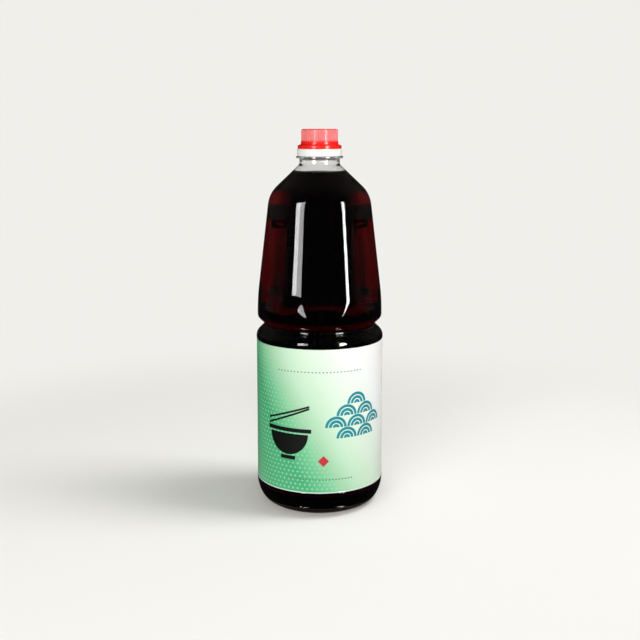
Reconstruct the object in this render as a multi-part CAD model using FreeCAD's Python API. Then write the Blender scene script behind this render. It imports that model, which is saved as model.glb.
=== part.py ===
import FreeCAD, Part
import math
import os

# Bottle of tsuyu sauce, 1.8 litres: a clear PET bottle with two pairs of thumb grips, the sauce
# inside it, a paper label round the lower body, and a red screw cap on a white pouring collar.
# Millimetres and degrees. Z is up, the origin is the middle of the foot, and the label faces -Y.

# Body
body_radius = 51.4
wall = 0.6

# Foot
dome_crown_radius = 10.0
dome_rise = 4.0
dome_rounding = 8.0
foot_width = 13.7
heel_inset = 7.7
heel_height = 13.2
foot_rounding = 14.0
heel_rounding = 27.0

# Label panel, a little sunk between the heel and the bulge above it
panel_bottom = 20.8
panel_height = 115.4
panel_depth = 0.4
panel_step = 0.5
label_thickness = 0.2
label_margin = 0.25
label_overlap = 9.0

# Waist: the bulge above the label, a round groove, and the lip under the grip section
bulge_height = 4.2
bulge_rounding = 7.0
groove_depth = 6.2
groove_slope = 6.0
groove_floor = 2.2
groove_rounding = 2.0
lip_slope = 4.7
lip_rounding = 4.5

# Grip section: tapered, round at its lip and shoulder, six-sided with soft corners between
grip_inset = 1.1
grip_height = 99.1
straight_height = 14.9
taper = 0.1165
taper_rounding = 160.0
round_height = 5.6
side_blend = 9.0
side_curve_share = 1.57
corner_curve_share = 0.38

# Thumb grips: four hollows beside the front and back ribs, running out to the side edges
rib_half_width = 25.5
thumb_depth = 2.6
thumb_wall_turn = 13.0
thumb_edge_azimuth = 67.0
thumb_lift = 13.1
thumb_run_out = 18.0
thumb_drop = 24.1
thumb_ramp = 3.5

# Shoulder and neck
shoulder_rise = 23.3
shoulder_rounding = 24.0
neck_radius = 16.05
neck_wall = 2.0
neck_height = 4.7
neck_rounding = 3.0
support_ring_reach = 2.75
support_ring_height = 1.6
support_ring_rounding = 0.4

# Sauce: how far its level lies below the foot of the neck
headspace = 6.1

# White pouring collar, seated on the support ring and over the mouth
collar_wall = 1.8
collar_height = 5.9
collar_deck = 1.4
collar_lip = 3.05
collar_rounding = 0.5
collar_clearance = 0.05

# Red screw cap, seated on the collar
flange_inset = 0.4
flange_height = 2.6
flange_slope = 1.0
band_inset = 2.55
band_height = 2.1
knob_inset = 0.3
knob_height = 9.9
knob_rounding = 0.7
cap_wall = 1.6
cap_rounding = 0.3
knurl_count = 60
knurl_depth = 0.35
knurl_ridge_share = 0.55

# How finely the grip section is laid out
ring_count = 60
poles_per_ring = 96
joining_tolerance = 0.001

# Radii that follow from the body and the neck
dome_radius = body_radius - heel_inset - foot_width
support_ring_radius = neck_radius + support_ring_reach
socket_radius = neck_radius + collar_clearance
collar_radius = socket_radius + collar_wall
collar_bore_radius = neck_radius - neck_wall - collar_lip
flange_radius = collar_radius - flange_inset
band_radius = flange_radius - band_inset
knob_radius = band_radius - knob_inset

# Heights that follow from the sizes above, from the foot up
panel_top = panel_bottom + panel_height
bulge_top = panel_top + panel_step + bulge_height
groove_bottom = bulge_top + groove_slope
groove_top = groove_bottom + groove_floor
lip_top = groove_top + lip_slope
shoulder_height = lip_top + grip_height
neck_bottom = shoulder_height + shoulder_rise
support_ring_bottom = neck_bottom + neck_height
collar_bottom = support_ring_bottom + support_ring_height
collar_top = collar_bottom + collar_height
mouth_height = collar_top - collar_deck
fill_height = neck_bottom - headspace
six_sided_low = lip_top + round_height
six_sided_high = shoulder_height + side_blend

upward = FreeCAD.Vector(0, 0, 1)
centre = FreeCAD.Vector(0, 0, 0)


def clamped(share):
    return min(max(share, 0.0), 1.0)


def smooth(share):
    share = clamped(share)
    return share * share * (3 - 2 * share)


def cylinder(radius, bottom, top):
    return Part.makeCylinder(radius, top - bottom, FreeCAD.Vector(0, 0, bottom), upward)


# Outlines. A corner is (radius, height, rounding), and an outline runs from the axis out and up.

def body_corners(neck):
    grip_radius = body_radius - grip_inset
    groove_radius = body_radius - groove_depth
    panel_radius = body_radius - panel_depth
    shoulder_radius = grip_radius - taper * (grip_height - straight_height)
    return [
        (0, dome_rise, 0),
        (dome_crown_radius, dome_rise, dome_rounding),
        (dome_radius, 0, dome_rounding),
        (body_radius - heel_inset, 0, foot_rounding),
        (body_radius, heel_height, heel_rounding),
        (body_radius, panel_bottom - panel_step, 0),
        (panel_radius, panel_bottom, 0),
        (panel_radius, panel_top, 0),
        (body_radius, panel_top + panel_step, 0),
        (body_radius, bulge_top, bulge_rounding),
        (groove_radius, groove_bottom, groove_rounding),
        (groove_radius, groove_top, groove_rounding),
        (grip_radius, lip_top, lip_rounding),
        (grip_radius, lip_top + straight_height, taper_rounding),
        (shoulder_radius, shoulder_height, shoulder_rounding),
        (neck, neck_bottom, neck_rounding),
        (neck, mouth_height, 0),
    ]


def inset_corners(corners, depth):
    # Moves each straight run of the outline inward by depth, square to itself.
    runs = []
    for (r0, z0, _), (r1, z1, _) in zip(corners, corners[1:]):
        length = math.hypot(r1 - r0, z1 - z0)
        along_r = (r1 - r0) / length
        along_z = (z1 - z0) / length
        runs.append((r0 - depth * along_z, z0 + depth * along_r, along_r, along_z))
    moved = [(0, runs[0][1], 0)]
    for before, after, corner in zip(runs, runs[1:], corners[1:]):
        turn = before[2] * after[3] - before[3] * after[2]
        along = ((after[0] - before[0]) * after[3] - (after[1] - before[1]) * after[2]) / turn
        rounding = corner[2]
        if rounding > 0:
            rounding -= math.copysign(depth, turn)
        moved.append((before[0] + along * before[2], before[1] + along * before[3], rounding))
    moved.append((runs[-1][0], corners[-1][1], 0))
    return moved


def outline_runs(corners):
    # The outline as runs of (start, end, arc). The arc is None on a straight run, and otherwise
    # (centre radius, centre height, rounding, side), where side is 1 on an outward bend.
    runs = []
    start = corners[0][:2]
    for before, corner, after in zip(corners, corners[1:], corners[2:]):
        into = math.atan2(corner[1] - before[1], corner[0] - before[0])
        out = math.atan2(after[1] - corner[1], after[0] - corner[0])
        turn = math.remainder(out - into, 2 * math.pi)
        reach = corner[2] * math.tan(abs(turn) / 2)
        arc_start = (corner[0] - reach * math.cos(into), corner[1] - reach * math.sin(into))
        arc_end = (corner[0] + reach * math.cos(out), corner[1] + reach * math.sin(out))
        runs.append((start, arc_start, None))
        if corner[2] > 0:
            side = math.copysign(1, turn)
            centre_radius = arc_start[0] - side * corner[2] * math.sin(into)
            centre_height = arc_start[1] + side * corner[2] * math.cos(into)
            runs.append((arc_start, arc_end, (centre_radius, centre_height, corner[2], side)))
        start = arc_end
    runs.append((start, corners[-1][:2], None))
    return runs


def radius_at(runs, height):
    # The radius of the outline above its groove, where each height has only one.
    for start, end, arc in reversed(runs):
        if not start[1] <= height <= end[1]:
            continue
        if arc is None:
            return start[0] + (end[0] - start[0]) * (height - start[1]) / (end[1] - start[1])
        centre_radius, centre_height, rounding, side = arc
        return centre_radius + side * math.sqrt(rounding ** 2 - (height - centre_height) ** 2)
    raise ValueError("the outline has no height %g" % height)


def revolved(corners):
    edges = []
    runs = outline_runs(corners)
    for start, end, arc in runs:
        ends = FreeCAD.Vector(start[0], 0, start[1]), FreeCAD.Vector(end[0], 0, end[1])
        if arc is None:
            edges.append(Part.makeLine(*ends))
            continue
        middle = FreeCAD.Vector(arc[0], 0, arc[1])
        outward = (ends[0] + ends[1]) * 0.5 - middle
        middle += outward * (arc[2] / outward.Length)
        edges.append(Part.Arc(ends[0], middle, ends[1]).toShape())
    bottom = FreeCAD.Vector(0, 0, runs[0][0][1])
    top = FreeCAD.Vector(0, 0, runs[-1][1][1])
    last = edges[-1].Vertexes[-1].Point
    if last.distanceToPoint(top) > 0:
        edges.append(Part.makeLine(last, top))
    edges.append(Part.makeLine(top, bottom))
    return Part.Face(Part.Wire(edges)).revolve(centre, upward, 360)


# Grip section. An azimuth is the turn from the front, which is -Y.

def six_sided_share(azimuth):
    # The radius of a six-sided outline as a share of its corner radius. Its sides are shallow
    # arcs facing 0, 60, 120 and so on, which run smoothly into the tighter arcs of its corners.
    half_turn = math.radians(30)
    corner_centre = 1 - corner_curve_share
    corner_across = corner_centre * math.sin(half_turn)
    between = side_curve_share - corner_curve_share
    side_centre = math.sqrt(between ** 2 - corner_across ** 2) - corner_centre * math.cos(half_turn)
    joint_across = corner_across * side_curve_share / between
    joint_along = math.sqrt(side_curve_share ** 2 - joint_across ** 2) - side_centre
    from_side = math.radians(abs(math.remainder(azimuth, 60)))
    if from_side < math.atan2(joint_across, joint_along):
        across = side_centre * math.sin(from_side)
        return math.sqrt(side_curve_share ** 2 - across ** 2) - side_centre * math.cos(from_side)
    across = corner_centre * math.sin(half_turn - from_side)
    return math.sqrt(corner_curve_share ** 2 - across ** 2) + corner_centre * math.cos(half_turn - from_side)


def thumb_sink(azimuth, height, outer_radius):
    # How far a thumb grip sinks the surface. It drops steeply beside the rib and runs out evenly
    # towards the side edge. Its top is a ramp down to a level shelf edge, and its foot runs out.
    from_face = abs(math.remainder(azimuth, 180))
    wall_start = math.degrees(math.asin(rib_half_width / outer_radius))
    wall_end = wall_start + thumb_wall_turn
    down = smooth((from_face - wall_start) / thumb_wall_turn)
    out = clamped((thumb_edge_azimuth - from_face) / (thumb_edge_azimuth - wall_end))
    ramp = clamped((shoulder_height - thumb_drop + thumb_ramp - height) / thumb_ramp)
    foot = smooth((height - lip_top - thumb_lift) / thumb_run_out)
    return thumb_depth * down * out * ramp * foot


def grip_radius(azimuth, height, runs, outer_runs):
    rise = smooth((height - six_sided_low) / side_blend)
    fall = smooth((shoulder_height + side_blend / 2 - height) / side_blend)
    flatness = rise * fall * (1 - six_sided_share(azimuth))
    sink = thumb_sink(azimuth, height, radius_at(outer_runs, height))
    return radius_at(runs, height) * (1 - flatness) - sink


def grip_section(corners):
    # A cubic surface shaped by rings of poles, closed round the bottle. The poles of a ring stand
    # out by swell, because a cubic runs a little inside them, and the rings lie at the heights
    # that keep the surface even up the bottle.
    runs = outline_runs(corners)
    outer_runs = outline_runs(outer_corners)
    swell = 3 / (2 + math.cos(2 * math.pi / poles_per_ring))
    spans = ring_count - 3
    knots = [0] * 3 + list(range(spans + 1)) + [spans] * 3
    rings = []
    for index in range(ring_count):
        share = sum(knots[index + 1:index + 4]) / (3 * spans)
        height = six_sided_low + (six_sided_high - six_sided_low) * share
        ring = []
        for pole in range(poles_per_ring):
            azimuth = 360 * pole / poles_per_ring
            radius = swell * grip_radius(azimuth, height, runs, outer_runs)
            heading = math.radians(azimuth - 90)
            ring.append(FreeCAD.Vector(radius * math.cos(heading), radius * math.sin(heading), height))
        rings.append(ring)
    surface = Part.BSplineSurface()
    surface.buildFromPolesMultsKnots(
        [list(column) for column in zip(*rings)],
        [1] * (poles_per_ring + 1), [4] + [1] * (spans - 1) + [4],
        list(range(poles_per_ring + 1)), list(range(spans + 1)),
        True, False, 3, 3)
    side = surface.toShape()
    rims = [edge for edge in side.Edges if edge.BoundBox.ZLength < joining_tolerance]
    ends = [Part.Face(Part.Wire(rim)) for rim in rims]
    closed = Part.Compound([side] + ends)
    closed.sewShape(joining_tolerance)
    return Part.Solid(closed.Shells[0])


def skin(corners):
    # The solid within one skin of the bottle: round, but for the grip section set into it.
    slab = cylinder(2 * body_radius, six_sided_low, six_sided_high)
    return revolved(corners).cut(slab).fuse([grip_section(corners)], joining_tolerance)


outer_corners = body_corners(neck_radius)
inner_corners = inset_corners(body_corners(neck_radius - neck_wall + wall), wall)
inside = skin(inner_corners)


# Pieces

def make_bottle():
    ring = revolved([
        (0, support_ring_bottom, 0),
        (support_ring_radius, support_ring_bottom, support_ring_rounding),
        (support_ring_radius, collar_bottom, support_ring_rounding),
        (0, collar_bottom, 0),
    ])
    return skin(outer_corners).fuse(ring).cut(inside)


def make_tsuyu():
    return inside.cut(cylinder(2 * body_radius, fill_height, mouth_height + wall))


def make_label():
    panel_radius = body_radius - panel_depth
    bottom = panel_bottom + label_margin
    height = panel_height - 2 * label_margin
    start = FreeCAD.Vector(0, 0, bottom)
    wrap = Part.makeCylinder(panel_radius + label_thickness, height, start, upward)
    flap_turn = math.degrees(label_overlap / panel_radius)
    flap = Part.makeCylinder(panel_radius + 2 * label_thickness, height, start, upward, flap_turn)
    flap.rotate(centre, upward, 90)
    return wrap.fuse(flap).cut(cylinder(panel_radius, bottom, bottom + height))


def make_collar():
    body = revolved([
        (0, collar_bottom, 0),
        (collar_radius, collar_bottom, collar_rounding),
        (collar_radius, collar_top, collar_rounding),
        (0, collar_top, 0),
    ])
    socket = cylinder(socket_radius, collar_bottom, mouth_height)
    return body.cut(socket).cut(cylinder(collar_bore_radius, mouth_height, collar_top))


def knurled_prism(bottom, top):
    edges = []
    step = 2 * math.pi / knurl_count
    flank = step * (1 - knurl_ridge_share) / 4

    def rim(radius, turn):
        return FreeCAD.Vector(radius * math.cos(turn), radius * math.sin(turn), bottom)

    for index in range(knurl_count):
        start = index * step
        ridge_end = start + step * knurl_ridge_share
        root_start = ridge_end + flank
        root_end = start + step - flank
        root = knob_radius - knurl_depth
        ridge = [rim(knob_radius, turn) for turn in (start, (start + ridge_end) / 2, ridge_end)]
        valley = [rim(root, turn) for turn in (root_start, (root_start + root_end) / 2, root_end)]
        edges.append(Part.Arc(*ridge).toShape())
        edges.append(Part.makeLine(ridge[-1], valley[0]))
        edges.append(Part.Arc(*valley).toShape())
        edges.append(Part.makeLine(valley[-1], rim(knob_radius, start + step)))
    face = Part.Face(Part.Wire(edges))
    return face.extrude(FreeCAD.Vector(0, 0, top - bottom))


def make_cap():
    flange_top = collar_top + flange_height
    band_bottom = flange_top + flange_slope
    band_top = band_bottom + band_height
    top = band_top + knob_height
    skirt = revolved([
        (0, collar_top, 0),
        (flange_radius, collar_top, cap_rounding),
        (flange_radius, flange_top, cap_rounding),
        (band_radius, band_bottom, cap_rounding),
        (band_radius, band_top, 0),
        (0, band_top, 0),
    ])
    crown = revolved([
        (0, band_top, 0),
        (knob_radius, band_top, 0),
        (knob_radius, top, knob_rounding),
        (0, top, 0),
    ])
    knob = crown.common(knurled_prism(band_top, top))
    hollow_radius = knob_radius - knurl_depth - cap_wall
    return skirt.fuse(knob).cut(cylinder(hollow_radius, collar_top, top - cap_wall))


nodes = {
    "bottle": make_bottle,
    "tsuyu": make_tsuyu,
    "label": make_label,
    "pouring_collar": make_collar,
    "cap": make_cap,
}

os.makedirs("parts", exist_ok=True)
for name, make in nodes.items():
    shape = make().removeSplitter()
    solid = shape.Solids[0]
    solid.exportStep("parts/%s.step" % name)
    print("%-15s %d solid, %9.1f mm3, z %.2f to %.2f, valid %s" % (
        name, len(shape.Solids), solid.Volume, solid.BoundBox.ZMin, solid.BoundBox.ZMax, solid.isValid()))
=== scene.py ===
import bpy
import math
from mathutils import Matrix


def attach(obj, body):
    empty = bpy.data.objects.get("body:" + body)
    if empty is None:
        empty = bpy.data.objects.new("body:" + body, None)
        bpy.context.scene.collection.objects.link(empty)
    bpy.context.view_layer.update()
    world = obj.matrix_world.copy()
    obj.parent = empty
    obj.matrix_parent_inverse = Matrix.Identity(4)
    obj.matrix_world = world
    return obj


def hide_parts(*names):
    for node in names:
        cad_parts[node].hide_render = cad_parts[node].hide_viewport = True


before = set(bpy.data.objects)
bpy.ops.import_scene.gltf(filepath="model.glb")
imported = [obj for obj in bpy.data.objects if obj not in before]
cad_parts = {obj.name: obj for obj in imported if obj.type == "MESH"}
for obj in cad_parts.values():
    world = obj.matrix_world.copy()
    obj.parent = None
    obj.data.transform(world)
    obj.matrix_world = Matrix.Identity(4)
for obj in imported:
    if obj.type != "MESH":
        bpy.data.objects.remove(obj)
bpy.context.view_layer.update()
mm = 0.001
print("frame loaded")


# Helpers used by every piece

def linear(hexColour):
    # sRGB hex to the linear colour that shaders want
    parts = [int(hexColour[i:i + 2], 16) / 255 for i in (1, 3, 5)]
    return tuple(c / 12.92 if c <= 0.04045 else ((c + 0.055) / 1.055) ** 2.4 for c in parts) + (1.0,)


def addNode(tree, kind, inputs=None, **settings):
    # adds one node, sets its options, then fills each input with a value or a link
    node = tree.nodes.new(kind)
    for name, value in settings.items():
        setattr(node, name, value)
    for key, value in (inputs or {}).items():
        if isinstance(value, bpy.types.NodeSocket):
            tree.links.new(value, node.inputs[key])
        else:
            node.inputs[key].default_value = value
    return node


def runSteps(tree, steps, values):
    # works through a list of (result, operation, inputs...) so that a formula reads as a list
    for name, operation, *inputs in steps:
        filled = {i: values.get(v, v) if isinstance(v, str) else v for i, v in enumerate(inputs)}
        if operation in ("LINEAR", "SMOOTHSTEP"):  # value, from, to gives 0 to 1
            node = addNode(tree, "ShaderNodeMapRange", filled, interpolation_type=operation)
        else:
            node = addNode(tree, "ShaderNodeMath", filled, operation=operation)
        values[name] = node.outputs[0]
    return values


def newMaterial(name):
    material = bpy.data.materials.new(name)
    material.use_nodes = True
    material.node_tree.nodes.clear()
    return material, material.node_tree


def addGrain(tree, place, look):
    # a very fine grain that is fixed to the piece
    return addNode(tree, "ShaderNodeTexNoise",
                   {"Vector": place.outputs["Object"], "Scale": 1 / look["grainSize"], "Detail": 2.0})


def addGrainBump(tree, grain, look):
    return addNode(tree, "ShaderNodeBump", {"Height": grain.outputs["Fac"], "Strength": look["grainStrength"],
                   "Distance": look["grainDepth"]})


def newPiece(name, verts, faces, material=None):
    mesh = bpy.data.meshes.new(name)
    mesh.from_pydata(verts, [], faces)
    mesh.polygons.foreach_set("use_smooth", [True] * len(faces))
    mesh.update()
    piece = bpy.data.objects.new(name, mesh)
    bpy.context.scene.collection.objects.link(piece)
    if material:
        mesh.materials.append(material)
    return piece


def applyNodes(piece):
    # turns what the modifier makes into the piece's own plain mesh
    graph = bpy.context.evaluated_depsgraph_get()
    made = bpy.data.meshes.new_from_object(piece.evaluated_get(graph))
    piece.modifiers.clear()
    piece.data = made


def clamped(share):
    return min(max(share, 0.0), 1.0)


# Camera, lamps and floor

studio = {
    "cameraPlace": (0.0, -0.813, 0.3071),
    "cameraPitch": 7.97,
    "lens": 57.0,
    "shift": (0.0006, -0.083),
    "paper": "#f0efeb",       # the pale sweep behind and below
    "floorHalfWidth": 12,
    "floorLitRadius": 0.28,   # the floor takes real light and shadow out to here
    "floorFadeRadius": 0.60,  # and is plain paper colour from here
    "ambient": 0.40,          # soft room light, felt by matt surfaces only
    "darkRoom": 0.01,         # what everything else sees of the room
    "floorGlossRadius": (0.02, 0.05),  # the floor goes dark in reflections between these reaches
    # black cards behind the bottle, seen only through the sauce: the paper shows beside them, from
    # cardTurn to cardSide degrees from straight behind, and from cardNear to cardFar out
    "cardTurn": (15, 31), "cardSide": (75, 60),
    "cardNear": (0.52, 0.60), "cardFar": (1.34, 1.285),
    "cardLean": 0.453,        # the far edge comes nearer by this much for each radian
    "cardBlack": 0.012,
    "clearCrossings": 4.5,    # clear plastic alone is crossed four times, with sauce in it six
    # lamps: (azimuth from the front, elevation, distance, width, height, radiance, what it does)
    "lampsAimAt": 0.10,       # height that the lamps point to
    "lamps": {
        "keyBox": (84, 60, 1.25, 0.40, 0.70, 11.8, "shade"),
        "frontFill": (-14, 5, 1.30, 1.00, 0.80, 5.5, "shade"),
        "leftBar": (-33, 17.5, 1.10, 0.19, 0.47, 13.0, "gloss"),
        "leftBarInner": (-25, 17.5, 1.10, 0.12, 0.47, 6.5, "gloss"),
        "rightBar": (41.5, 16.5, 1.10, 0.25, 0.60, 24.0, "gloss"),
    },
}

camera = bpy.data.objects.new("camera", bpy.data.cameras.new("camera"))
camera.location = studio["cameraPlace"]
camera.rotation_euler = (math.radians(90 - studio["cameraPitch"]), 0, 0)
camera.data.lens = studio["lens"]
camera.data.sensor_width = 36
camera.data.shift_x, camera.data.shift_y = studio["shift"]
bpy.context.scene.collection.objects.link(camera)
bpy.context.scene.camera = camera
bpy.context.scene.view_settings.view_transform = "Standard"

for name, (azimuth, elevation, distance, width, height, radiance, work) in studio["lamps"].items():
    lamp = bpy.data.lights.new(name, "AREA")
    lamp.shape = "RECTANGLE"
    lamp.size, lamp.size_y = width, height
    lamp.energy = radiance * math.pi * width * height
    holder = bpy.data.objects.new(name, lamp)
    turn, rise = math.radians(azimuth), math.radians(elevation)
    holder.location = (distance * math.sin(turn) * math.cos(rise),
                       -distance * math.cos(turn) * math.cos(rise),
                       studio["lampsAimAt"] + distance * math.sin(rise))
    holder.rotation_euler = (math.radians(90) - rise, 0, turn)
    holder.visible_camera = False
    holder.visible_diffuse = work == "shade"
    holder.visible_glossy = holder.visible_transmission = work == "gloss"
    bpy.context.scene.collection.objects.link(holder)


def seesPaper(tree, path):
    # 1 for the camera and for light let through by the bottle; a reflection is let through as
    # well (two at most) where only clear plastic was crossed
    values = runSteps(tree, [
        ("bare", "LESS_THAN", "crossings", studio["clearCrossings"]),
        ("spared", "MULTIPLY_ADD", "bare", 2.0, 0.5),
        ("straight", "LESS_THAN", "bounces", "spared"),
        ("through", "MULTIPLY", "isThrough", "straight"),
    ], {"crossings": path.outputs["Transmission Depth"], "bounces": path.outputs["Glossy Depth"],
        "isThrough": path.outputs["Is Transmission Ray"]})
    seen = addNode(tree, "ShaderNodeMath", {0: path.outputs["Is Camera Ray"], 1: values["through"]},
                   operation="ADD", use_clamp=True)
    return seen.outputs[0]


world = bpy.data.worlds.new("world")
bpy.context.scene.world = world
world.use_nodes = True
worldTree = world.node_tree
worldTree.nodes.clear()
path = addNode(worldTree, "ShaderNodeLightPath")
seen = seesPaper(worldTree, path)
paper = linear(studio["paper"])
pale = addNode(worldTree, "ShaderNodeBackground", {"Color": paper, "Strength": 1.0})
room = addNode(worldTree, "ShaderNodeBackground", {"Color": paper, "Strength": studio["ambient"]})
shade = (studio["darkRoom"],) * 3 + (1,)
dark = addNode(worldTree, "ShaderNodeBackground", {"Color": shade, "Strength": 1.0})
diffuse = path.outputs["Is Diffuse Ray"]  # only matt surfaces feel the soft room light
roomOrDark = addNode(worldTree, "ShaderNodeMixShader", {0: diffuse, 1: dark.outputs[0], 2: room.outputs[0]})
worldMix = addNode(worldTree, "ShaderNodeMixShader", {0: seen, 1: roomOrDark.outputs[0], 2: pale.outputs[0]})
addNode(worldTree, "ShaderNodeOutputWorld", {0: worldMix.outputs[0]})

# Matt paper sweep: takes the soft shadow near the bottle, and far off it is its plain colour
sweepPaper, tree = newMaterial("mattPaperSweep")
place = addNode(tree, "ShaderNodeTexCoord")
reach = addNode(tree, "ShaderNodeVectorMath", {0: place.outputs["Object"]}, operation="LENGTH")
far = addNode(tree, "ShaderNodeMapRange", {0: reach.outputs["Value"], 1: studio["floorLitRadius"],
              2: studio["floorFadeRadius"]}, interpolation_type="SMOOTHSTEP")
path = addNode(tree, "ShaderNodeLightPath")
share = addNode(tree, "ShaderNodeMath", {0: far.outputs[0], 1: seesPaper(tree, path)}, operation="MULTIPLY")
matt = addNode(tree, "ShaderNodeBsdfDiffuse", {"Color": paper, "Roughness": 0.6})
plain = addNode(tree, "ShaderNodeEmission", {"Color": paper, "Strength": 1.0})
mix = addNode(tree, "ShaderNodeMixShader", {0: share.outputs[0], 1: matt.outputs[0], 2: plain.outputs[0]})
away = addNode(tree, "ShaderNodeMapRange", {0: reach.outputs["Value"], 1: studio["floorGlossRadius"][0],
               2: studio["floorGlossRadius"][1]}, interpolation_type="SMOOTHSTEP")
unlit = addNode(tree, "ShaderNodeEmission", {"Color": (studio["cardBlack"],) * 3 + (1,), "Strength": 1.0})
xyz = addNode(tree, "ShaderNodeSeparateXYZ", {0: place.outputs["Object"]})
turnFrom, turnTo = (math.radians(turn) for turn in studio["cardTurn"])
sideFrom, sideTo = (math.radians(turn) for turn in studio["cardSide"])
cards = runSteps(tree, [
    ("side", "ABSOLUTE", "x"),
    ("turn", "ARCTAN2", "side", "y"),
    ("beside", "SMOOTHSTEP", "turn", turnFrom, turnTo),
    ("leaning", "MULTIPLY_ADD", "turn", studio["cardLean"], "reach"),
    ("nearEnough", "SMOOTHSTEP", "leaning", *studio["cardFar"]),
    ("farEnough", "SMOOTHSTEP", "reach", *studio["cardNear"]),
    ("band", "MULTIPLY", "nearEnough", "farEnough"),
    ("inside", "SMOOTHSTEP", "turn", sideFrom, sideTo),
    ("window", "MULTIPLY", "beside", "inside"),
    ("open", "MULTIPLY", "window", "band"),
    ("shut", "SUBTRACT", 1.0, "open"),
    ("deep", "GREATER_THAN", "crossings", studio["clearCrossings"]),
    ("carded", "MULTIPLY", "shut", "deep"),
    ("bounced", "GREATER_THAN", "bounces", 0.5),
    ("mirrored", "MULTIPLY", "away", "bounced"),
    ("hidden", "MAXIMUM", "carded", "mirrored"),
], {"x": xyz.outputs["X"], "y": xyz.outputs["Y"], "reach": reach.outputs["Value"], "away": away.outputs[0],
    "crossings": path.outputs["Transmission Depth"], "bounces": path.outputs["Glossy Depth"]})
finish = addNode(tree, "ShaderNodeMixShader", {0: cards["hidden"], 1: mix.outputs[0], 2: unlit.outputs[0]})
addNode(tree, "ShaderNodeOutputMaterial", {"Surface": finish.outputs[0]})
edge = studio["floorHalfWidth"]
verts = [(-edge, -edge, 0), (edge, -edge, 0), (edge, edge, 0), (-edge, edge, 0)]
floor = newPiece("floor", verts, [(0, 1, 2, 3)], sweepPaper)
print("studio set")


# Bottle outline, in millimetres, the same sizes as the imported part

bottle = {
    "bodyRadius": 51.4, "wall": 0.6,
    "domeCrownRadius": 10.0, "domeRise": 4.0, "domeRounding": 8.0,
    "footWidth": 13.7, "heelInset": 7.7, "heelHeight": 13.2, "footRounding": 14.0, "heelRounding": 27.0,
    "panelBottom": 20.8, "panelHeight": 115.4, "panelDepth": 0.4, "panelStep": 0.5,
    "bulgeHeight": 4.2, "bulgeRounding": 7.0,
    "grooveDepth": 6.2, "grooveSlope": 6.0, "grooveFloor": 2.2, "grooveRounding": 2.0,
    "lipSlope": 4.7, "lipRounding": 4.5,
    "gripInset": 1.1, "gripHeight": 99.1, "straightHeight": 14.9, "taper": 0.1165, "taperRounding": 160.0,
    "shoulderRise": 23.3, "shoulderRounding": 24.0,
    "neckRadius": 16.05, "neckWall": 2.0, "neckHeight": 4.7, "neckRounding": 3.0,
    "ringReach": 2.75, "ringHeight": 1.6, "ringRounding": 0.4,
    "mouthAboveRing": 4.5, "mouthRounding": 0.3,
    "sauceIntoWall": 0.3,  # the sauce reaches this far into the wall, so no air gap shows
    "headspace": 6.1,      # sauce level below the foot of the neck
    "meniscus": 1.1,       # how far the sauce climbs at the wall
    "meniscusRun": 3.2, "meniscusCurve": 2.5,
    "levelInset": 4.0, "levelRings": 8,
    "around": 216,         # points round the bottle
}

panelTop = bottle["panelBottom"] + bottle["panelHeight"]
bulgeTop = panelTop + bottle["panelStep"] + bottle["bulgeHeight"]
grooveBottom = bulgeTop + bottle["grooveSlope"]
grooveTop = grooveBottom + bottle["grooveFloor"]
lipTop = grooveTop + bottle["lipSlope"]
shoulderHeight = lipTop + bottle["gripHeight"]
neckBottom = shoulderHeight + bottle["shoulderRise"]
ringBottom = neckBottom + bottle["neckHeight"]
ringTop = ringBottom + bottle["ringHeight"]
mouthHeight = ringTop + bottle["mouthAboveRing"]


def bodyCorners(neck):
    # (radius, height, rounding) from the axis out and up
    body = bottle["bodyRadius"]
    panel = body - bottle["panelDepth"]
    groove = body - bottle["grooveDepth"]
    grip = body - bottle["gripInset"]
    shoulder = grip - bottle["taper"] * (bottle["gripHeight"] - bottle["straightHeight"])
    foot = body - bottle["heelInset"]
    return [
        (0, bottle["domeRise"], 0),
        (bottle["domeCrownRadius"], bottle["domeRise"], bottle["domeRounding"]),
        (foot - bottle["footWidth"], 0, bottle["domeRounding"]),
        (foot, 0, bottle["footRounding"]),
        (body, bottle["heelHeight"], bottle["heelRounding"]),
        (body, bottle["panelBottom"] - bottle["panelStep"], 0),
        (panel, bottle["panelBottom"], 0),
        (panel, panelTop, 0),
        (body, panelTop + bottle["panelStep"], 0),
        (body, bulgeTop, bottle["bulgeRounding"]),
        (groove, grooveBottom, bottle["grooveRounding"]),
        (groove, grooveTop, bottle["grooveRounding"]),
        (grip, lipTop, bottle["lipRounding"]),
        (grip, lipTop + bottle["straightHeight"], bottle["taperRounding"]),
        (shoulder, shoulderHeight, bottle["shoulderRounding"]),
        (neck, neckBottom, bottle["neckRounding"]),
        (neck, mouthHeight, 0),
    ]


def insetCorners(corners, depth):
    # moves each straight run of the outline inward, square to itself
    runs = []
    for (r0, z0, _), (r1, z1, _) in zip(corners, corners[1:]):
        length = math.hypot(r1 - r0, z1 - z0)
        alongR, alongZ = (r1 - r0) / length, (z1 - z0) / length
        runs.append((r0 - depth * alongZ, z0 + depth * alongR, alongR, alongZ))
    moved = [(0, runs[0][1], 0)]
    for before, after, corner in zip(runs, runs[1:], corners[1:]):
        turn = before[2] * after[3] - before[3] * after[2]
        along = ((after[0] - before[0]) * after[3] - (after[1] - before[1]) * after[2]) / turn
        rounding = corner[2] - math.copysign(depth, turn) if corner[2] > 0 else 0
        moved.append((before[0] + along * before[2], before[1] + along * before[3], rounding))
    moved.append((runs[-1][0], corners[-1][1], 0))
    return moved


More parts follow.
